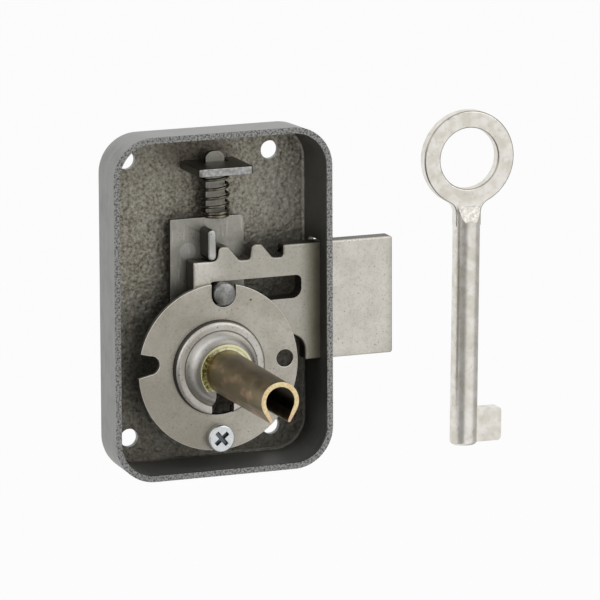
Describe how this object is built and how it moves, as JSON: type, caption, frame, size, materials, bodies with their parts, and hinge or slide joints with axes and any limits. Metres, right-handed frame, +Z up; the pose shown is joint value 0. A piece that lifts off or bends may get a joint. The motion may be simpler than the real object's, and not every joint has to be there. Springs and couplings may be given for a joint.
{
  "type": "furniture lock",
  "caption": "Surface-mounted furniture lock: open pressed case, dead bolt, sprung tumbler, turnable disc with slotted key tube, and a separate bit key with a ring bow.",
  "frame": {"origin": "where the key's axis in the tube meets the plane of the case's rim", "axes": "+X the way the bolt is thrown, +Y into the lock from the open rim to the floor, +Z up towards the spring bracket"},
  "size_m": [0.1027, 0.0508, 0.0805],
  "materials": {
    "case_steel": "tumbled, dull grey",
    "bracket_steel": "plain cut steel",
    "plate_steel": "satin, warm grey",
    "spring_steel": "dark drawn wire",
    "disc_steel": "satin",
    "screw_zinc": "bright zinc plate",
    "tube_brass": "aged brass with bright cut ends",
    "key_nickel": "nickel plate over a slightly rough casting"
  },
  "bodies": {
    "lock_case": {"case": "case_steel", "spring_bracket": "bracket_steel", "tumbler_spring": "spring_steel", "cover_disc": "disc_steel", "tube_seat": "disc_steel", "key_tube": "tube_brass", "guide_stud": "bracket_steel", "screw_post": "bracket_steel", "disc_screw": "screw_zinc"},
    "dead_bolt": {"bolt": "plate_steel"},
    "lever": {"tumbler": "plate_steel", "tumbler_stump": "plate_steel"},
    "loose_key": {"key": "key_nickel"}
  },
  "joints": [
    {"name": "bolt_slide", "type": "slide", "parent": "lock_case", "child": "dead_bolt", "axis": [1, 0, 0], "range_m": [-0.0163, 0]},
    {"name": "tumbler_lift", "type": "slide", "parent": "lock_case", "child": "lever", "axis": [0, 0, 1], "range_m": [0, 0.0034], "stiffness_N_per_m": 300, "springref_m": -0.004, "deforming": ["tumbler_spring"]},
    {"name": "key_turn", "type": "hinge", "parent": "lock_case", "child": "loose_key", "pos_m": [0.06478, 0.0109, 0], "axis": [0.014, 0, 0.9999], "continuous": true}
  ]
}
